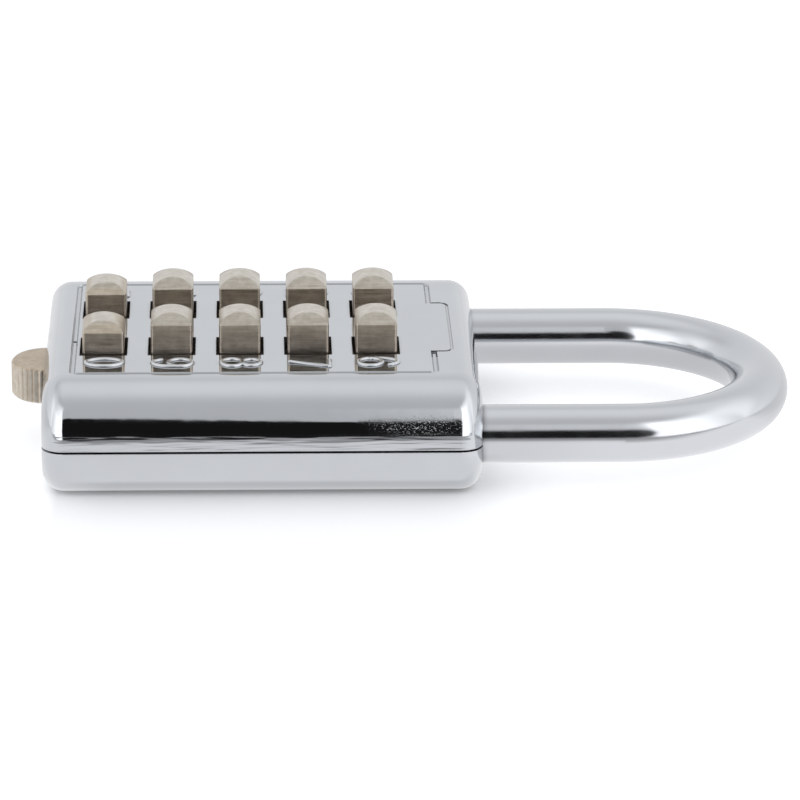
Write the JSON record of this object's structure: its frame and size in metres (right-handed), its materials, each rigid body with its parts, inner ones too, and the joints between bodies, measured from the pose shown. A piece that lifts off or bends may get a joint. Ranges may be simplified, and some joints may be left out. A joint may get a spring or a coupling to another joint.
{
  "type": "combination padlock",
  "caption": "Pushbutton combination padlock with a flat rounded case, two rows of arched buttons, a knurled pull knob at one end and a round U shackle at the other.",
  "frame": {"origin": "middle of the whole lock in plan, on the plane of the cover's flat back", "axes": "+X from the pull knob to the shackle's bow, +Z out of the button face, the lock lying on its back"},
  "size_m": [0.0888, 0.0444, 0.0175],
  "materials": {
    "case_chrome": "bright chrome plate over a zinc casting",
    "cover_chrome": "bright chrome plate over a zinc casting",
    "shackle_chrome": "polished chrome plate over steel rod",
    "button_nickel": "satin nickel plate, brushed along the row",
    "knob_nickel": "satin nickel plate, knurled rim",
    "plate_steel": "stamped steel, zinc plated",
    "pin_steel": "ground steel pin",
    "spring_steel": "drawn spring wire",
    "screw_steel": "zinc plated socket screw"
  },
  "bodies": {
    "case": {"front_shell": "case_chrome", "back_cover": "cover_chrome", "retaining_pin": "pin_steel", "plate_spring": "spring_steel", "cover_screw": "screw_steel", "button_spring_0": "spring_steel", "button_spring_1": "spring_steel", "button_spring_2": "spring_steel", "button_spring_3": "spring_steel", "button_spring_4": "spring_steel", "button_spring_5": "spring_steel", "button_spring_6": "spring_steel", "button_spring_7": "spring_steel", "button_spring_8": "spring_steel", "button_spring_9": "spring_steel"},
    "shackle": {"shackle": "shackle_chrome"},
    "plate": {"gate_plate": "plate_steel", "pull_knob": "knob_nickel", "knob_rivet": "pin_steel"},
    "bolt": {"latch_bolt": "plate_steel", "bolt_pin": "pin_steel"},
    "key_0": {"button_0": "button_nickel"},
    "key_1": {"button_1": "button_nickel"},
    "key_2": {"button_2": "button_nickel"},
    "key_3": {"button_3": "button_nickel"},
    "key_4": {"button_4": "button_nickel"},
    "key_5": {"button_5": "button_nickel"},
    "key_6": {"button_6": "button_nickel"},
    "key_7": {"button_7": "button_nickel"},
    "key_8": {"button_8": "button_nickel"},
    "key_9": {"button_9": "button_nickel"}
  },
  "joints": [
    {"name": "button_0_press", "type": "slide", "parent": "case", "child": "key_0", "axis": [0, 0, -1], "range_m": [0, 0.0024], "stiffness_N_per_m": 400, "deforming": ["button_spring_0"]},
    {"name": "button_1_press", "type": "slide", "parent": "case", "child": "key_1", "axis": [0, 0, -1], "range_m": [0, 0.0024], "stiffness_N_per_m": 400, "deforming": ["button_spring_1"]},
    {"name": "button_2_press", "type": "slide", "parent": "case", "child": "key_2", "axis": [0, 0, -1], "range_m": [0, 0.0024], "stiffness_N_per_m": 400, "deforming": ["button_spring_2"]},
    {"name": "button_3_press", "type": "slide", "parent": "case", "child": "key_3", "axis": [0, 0, -1], "range_m": [0, 0.0024], "stiffness_N_per_m": 400, "deforming": ["button_spring_3"]},
    {"name": "button_4_press", "type": "slide", "parent": "case", "child": "key_4", "axis": [0, 0, -1], "range_m": [0, 0.0024], "stiffness_N_per_m": 400, "deforming": ["button_spring_4"]},
    {"name": "button_5_press", "type": "slide", "parent": "case", "child": "key_5", "axis": [0, 0, -1], "range_m": [0, 0.0024], "stiffness_N_per_m": 400, "deforming": ["button_spring_5"]},
    {"name": "button_6_press", "type": "slide", "parent": "case", "child": "key_6", "axis": [0, 0, -1], "range_m": [0, 0.0024], "stiffness_N_per_m": 400, "deforming": ["button_spring_6"]},
    {"name": "button_7_press", "type": "slide", "parent": "case", "child": "key_7", "axis": [0, 0, -1], "range_m": [0, 0.0024], "stiffness_N_per_m": 400, "deforming": ["button_spring_7"]},
    {"name": "button_8_press", "type": "slide", "parent": "case", "child": "key_8", "axis": [0, 0, -1], "range_m": [0, 0.0024], "stiffness_N_per_m": 400, "deforming": ["button_spring_8"]},
    {"name": "button_9_press", "type": "slide", "parent": "case", "child": "key_9", "axis": [0, 0, -1], "range_m": [0, 0.0024], "stiffness_N_per_m": 400, "deforming": ["button_spring_9"]},
    {"name": "plate_slide", "type": "slide", "parent": "case", "child": "plate", "axis": [1, 0, 0], "range_m": [0, 0.0022]},
    {"name": "bolt_slide", "type": "slide", "parent": "case", "child": "bolt", "axis": [0, -1, 0], "range_m": [0, 0.002]},
    {"name": "shackle_slide", "type": "slide", "parent": "case", "child": "shackle", "axis": [1, 0, 0], "range_m": [0, 0.011]}
  ],
  "couplings": [
    {"joint": "bolt_slide", "follows": "plate_slide", "ratio": 0.909}
  ]
}
